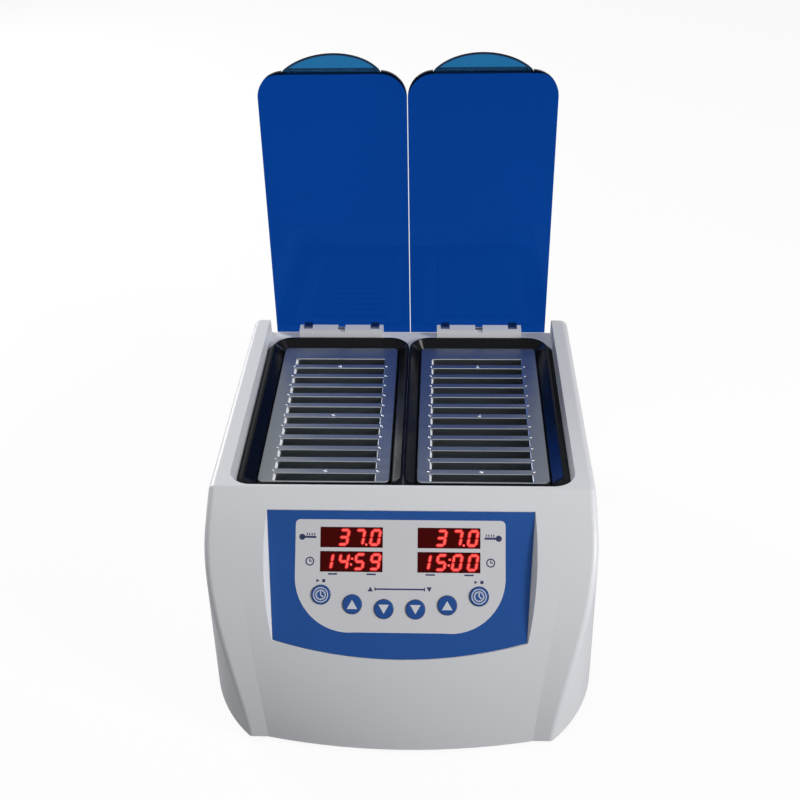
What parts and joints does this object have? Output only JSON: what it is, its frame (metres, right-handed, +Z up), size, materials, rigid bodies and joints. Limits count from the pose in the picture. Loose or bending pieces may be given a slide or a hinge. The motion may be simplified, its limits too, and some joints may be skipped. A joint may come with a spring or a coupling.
{
  "type": "gel card heater",
  "caption": "Bench gel card heater with two hinged blue lids over two slotted heating wells, a sloping key panel with red digits, and a rear mains inlet.",
  "frame": {"origin": "middle of the overall box with the lids open, at table level", "axes": "+Z up, +Y to the rear, +X to the right when seen from the front"},
  "size_m": [0.263, 0.3549, 0.3462],
  "materials": {
    "white_abs": "fine satin moulding",
    "blue_label": "satin printed sheet",
    "light_label": "satin printed sheet",
    "blue_key": "satin",
    "red_window": "clear dark red",
    "display_body": "matt",
    "board_green": "lacquered board",
    "black_plastic": "glossy moulding",
    "dark_plastic": "matt",
    "aluminium": "polished plate",
    "steel": "zinc plated",
    "plated_steel": "bright",
    "painted_steel": "light grey powder coat",
    "brass": "machined",
    "rubber": "matt",
    "silicone": "matt",
    "foam": "foam",
    "blue_acrylic": "clear blue acrylic sheet",
    "fuse_glass": "clear",
    "ribbon_grey": "flat cable"
  },
  "bodies": {
    "housing": {"top_housing": "white_abs", "base_plate": "painted_steel", "base_screws": "steel", "rubber_feet": "rubber", "foot_screws": "steel", "rear_panel": "painted_steel", "rear_panel_screws": "steel", "control_panel": "blue_label", "key_field": "light_label", "display_windows": "red_window", "left_temperature_display": "display_body", "left_time_display": "display_body", "right_temperature_display": "display_body", "right_time_display": "display_body", "control_board": "board_green", "board_spacers": "brass", "board_screws": "steel", "tact_switches": "dark_plastic", "buzzer": "dark_plastic", "ribbon_cable": "ribbon_grey", "left_well_frame": "black_plastic", "right_well_frame": "black_plastic", "left_block_floor": "aluminium", "right_block_floor": "aluminium", "left_block_rails": "aluminium", "right_block_rails": "aluminium", "left_divider_bars": "aluminium", "right_divider_bars": "aluminium", "bar_pins": "plated_steel", "bar_screws": "steel", "heater_mats": "silicone", "insulation_pads": "foam", "left_block_tray": "steel", "right_block_tray": "steel", "tray_screws": "steel", "temperature_sensors": "plated_steel", "thermal_cutouts": "dark_plastic", "left_hinge_block": "white_abs", "right_hinge_block": "white_abs", "hinge_pins": "plated_steel", "hinge_block_screws": "steel", "power_board": "board_green", "power_board_spacers": "brass", "transformer": "dark_plastic", "mains_inlet": "dark_plastic", "inlet_contacts": "brass", "power_switch": "dark_plastic"},
    "left_lid_body": {"left_lid": "blue_acrylic", "left_lid_knuckles": "dark_plastic"},
    "right_lid_body": {"right_lid": "blue_acrylic", "right_lid_knuckles": "dark_plastic"},
    "fuse_drawer_body": {"fuse_drawer": "dark_plastic", "fuse": "fuse_glass"},
    "rocker_body": {"rocker": "black_plastic"},
    "left_clock_key_body": {"left_clock_key": "blue_key"},
    "left_up_key_body": {"left_up_key": "blue_key"},
    "left_down_key_body": {"left_down_key": "blue_key"},
    "right_down_key_body": {"right_down_key": "blue_key"},
    "right_up_key_body": {"right_up_key": "blue_key"},
    "right_clock_key_body": {"right_clock_key": "blue_key"}
  },
  "joints": [
    {"name": "left_lid_hinge", "type": "hinge", "parent": "housing", "child": "left_lid_body", "pos_m": [-0.05625, 0.1384, 0.1315], "axis": [1, 0, 0], "range_deg": [0, 94]},
    {"name": "right_lid_hinge", "type": "hinge", "parent": "housing", "child": "right_lid_body", "pos_m": [0.05625, 0.1384, 0.1315], "axis": [1, 0, 0], "range_deg": [0, 94]},
    {"name": "left_clock_key_press", "type": "slide", "parent": "housing", "child": "left_clock_key_body", "axis": [0, 0.7431, -0.6691], "range_m": [0, 0.0005], "stiffness_N_per_m": 1500},
    {"name": "left_up_key_press", "type": "slide", "parent": "housing", "child": "left_up_key_body", "axis": [0, 0.7431, -0.6691], "range_m": [0, 0.0005], "stiffness_N_per_m": 1500},
    {"name": "left_down_key_press", "type": "slide", "parent": "housing", "child": "left_down_key_body", "axis": [0, 0.7431, -0.6691], "range_m": [0, 0.0005], "stiffness_N_per_m": 1500},
    {"name": "right_down_key_press", "type": "slide", "parent": "housing", "child": "right_down_key_body", "axis": [0, 0.7431, -0.6691], "range_m": [0, 0.0005], "stiffness_N_per_m": 1500},
    {"name": "right_up_key_press", "type": "slide", "parent": "housing", "child": "right_up_key_body", "axis": [0, 0.7431, -0.6691], "range_m": [0, 0.0005], "stiffness_N_per_m": 1500},
    {"name": "right_clock_key_press", "type": "slide", "parent": "housing", "child": "right_clock_key_body", "axis": [0, 0.7431, -0.6691], "range_m": [0, 0.0005], "stiffness_N_per_m": 1500},
    {"name": "fuse_drawer_slide", "type": "slide", "parent": "housing", "child": "fuse_drawer_body", "axis": [0, 1, 0], "range_m": [0, 0.017]},
    {"name": "rocker_tilt", "type": "hinge", "parent": "housing", "child": "rocker_body", "pos_m": [-0.02, 0.1381, 0.0535], "axis": [1, 0, 0], "range_deg": [0, 14]}
  ]
}
